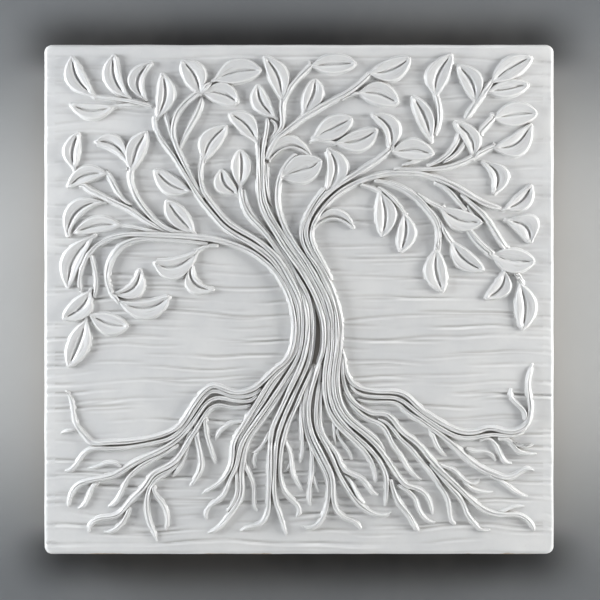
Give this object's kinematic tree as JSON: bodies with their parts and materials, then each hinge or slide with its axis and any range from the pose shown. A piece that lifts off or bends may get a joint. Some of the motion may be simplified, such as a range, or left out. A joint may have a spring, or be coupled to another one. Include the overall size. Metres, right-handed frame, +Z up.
{
  "type": "square relief wall plaque",
  "caption": "Square white clay wall plaque with a relief tree: rolled coils for trunk, limbs and roots, pressed leaves, and a back frame with hanging rings.",
  "frame": {"origin": "centre of the whole object's box: midway across, up, and through its depth", "axes": "+X to the viewer's right, +Z up, +Y from the face back to the wall, so the face looks along -Y"},
  "size_m": [0.4, 0.0364, 0.4],
  "materials": {
    "white_clay": "satin white slip over buff clay",
    "pine": "planed, unvarnished",
    "strap_steel": "zinc plated",
    "ring_steel": "zinc plated wire",
    "screw_brass": "brassed steel screws",
    "pad_rubber": "matt black"
  },
  "bodies": {
    "panel": {"clay_slab": "white_clay", "corner_screws": "screw_brass", "frame_bottom_rail": "pine", "frame_left_stile": "pine", "frame_right_stile": "pine", "frame_top_rail": "pine", "hanger_screws": "screw_brass", "hanger_strap_left": "strap_steel", "hanger_strap_right": "strap_steel", "leaves_far_upper_left": "white_clay", "leaves_far_upper_right": "white_clay", "leaves_left": "white_clay", "leaves_lower_left": "white_clay", "leaves_lower_right": "white_clay", "leaves_middle": "white_clay", "leaves_right": "white_clay", "leaves_upper_left": "white_clay", "leaves_upper_middle": "white_clay", "leaves_upper_right": "white_clay", "limb_far_left": "white_clay", "limb_left": "white_clay", "limb_right": "white_clay", "limb_upper_left": "white_clay", "limb_upper_middle": "white_clay", "limb_upper_right": "white_clay", "root_far_left": "white_clay", "root_far_right": "white_clay", "root_left": "white_clay", "root_lower_left": "white_clay", "root_lower_right": "white_clay", "root_middle": "white_clay", "root_middle_left": "white_clay", "root_right": "white_clay", "trunk_coil_1": "white_clay", "trunk_coil_10": "white_clay", "trunk_coil_11": "white_clay", "trunk_coil_2": "white_clay", "trunk_coil_3": "white_clay", "trunk_coil_4": "white_clay", "trunk_coil_5": "white_clay", "trunk_coil_6": "white_clay", "trunk_coil_7": "white_clay", "trunk_coil_8": "white_clay", "trunk_coil_9": "white_clay", "wall_pads": "pad_rubber"},
    "ring_left": {"hanging_ring_left": "ring_steel"},
    "ring_right": {"hanging_ring_right": "ring_steel"}
  },
  "joints": [
    {"name": "ring_left_hinge", "type": "hinge", "parent": "panel", "child": "ring_left", "pos_m": [-0.15, 0.0154, 0.105], "axis": [-1, 0, 0], "range_deg": [0, 180]},
    {"name": "ring_right_hinge", "type": "hinge", "parent": "panel", "child": "ring_right", "pos_m": [0.15, 0.0154, 0.105], "axis": [-1, 0, 0], "range_deg": [0, 180]}
  ]
}
